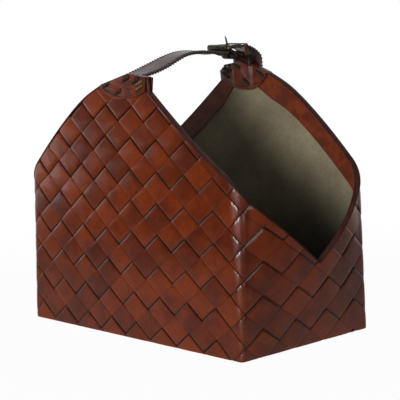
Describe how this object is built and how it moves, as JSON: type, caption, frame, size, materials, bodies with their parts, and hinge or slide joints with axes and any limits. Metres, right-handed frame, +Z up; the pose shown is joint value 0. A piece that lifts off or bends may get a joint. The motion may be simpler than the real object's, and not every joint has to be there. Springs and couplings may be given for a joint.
{
  "type": "magazine basket",
  "caption": "Rectangular magazine basket of plaited leather with high peaks, low V ends, a lining and a buckled strap handle across the top.",
  "frame": {"origin": "middle of the flat underside", "axes": "+X along the long side to the end with the right notch, +Y from the front long panel towards the back one that carries the buckle, +Z up"},
  "size_m": [0.4294, 0.2436, 0.3769],
  "materials": {
    "plait": "glossy antiqued",
    "trim": "satin",
    "strap": "glossy",
    "lacing": "satin",
    "lining": "matt",
    "board": "raw fibreboard",
    "metal": "dark antique"
  },
  "bodies": {
    "basket": {"woven_shell": "plait", "wall_lining": "lining", "rim_facing": "trim", "right_rim_binding": "trim", "left_rim_binding": "trim", "base_panel": "plait", "base_board": "board", "floor_lining": "lining", "front_outer_tab": "trim", "front_inner_tab": "trim", "back_outer_tab": "trim", "back_inner_tab": "trim", "front_stitch_1": "lacing", "front_stitch_2": "lacing", "front_stitch_3": "lacing", "front_stitch_4": "lacing", "front_stitch_5": "lacing", "front_stitch_6": "lacing", "back_stitch_1": "lacing", "back_stitch_2": "lacing", "back_stitch_3": "lacing", "back_stitch_4": "lacing", "back_stitch_5": "lacing", "back_stitch_6": "lacing", "handle_strap": "strap", "buckle_strap": "trim", "strap_keeper": "trim"},
    "frame": {"buckle_frame": "metal"},
    "roller": {"buckle_roller": "metal"},
    "prong": {"buckle_prong": "metal"}
  },
  "joints": [
    {"name": "frame_pivot", "type": "hinge", "parent": "basket", "child": "frame", "pos_m": [0, 0.081, 0.3512], "axis": [-1, 0, 0], "range_deg": [0, 3]},
    {"name": "roller_spin", "type": "hinge", "parent": "frame", "child": "roller", "pos_m": [0, 0.056, 0.36146], "axis": [1, 0, 0], "continuous": true},
    {"name": "prong_pivot", "type": "hinge", "parent": "frame", "child": "prong", "pos_m": [0, 0.081, 0.3512], "axis": [-1, 0, 0], "range_deg": [0, 3]}
  ]
}
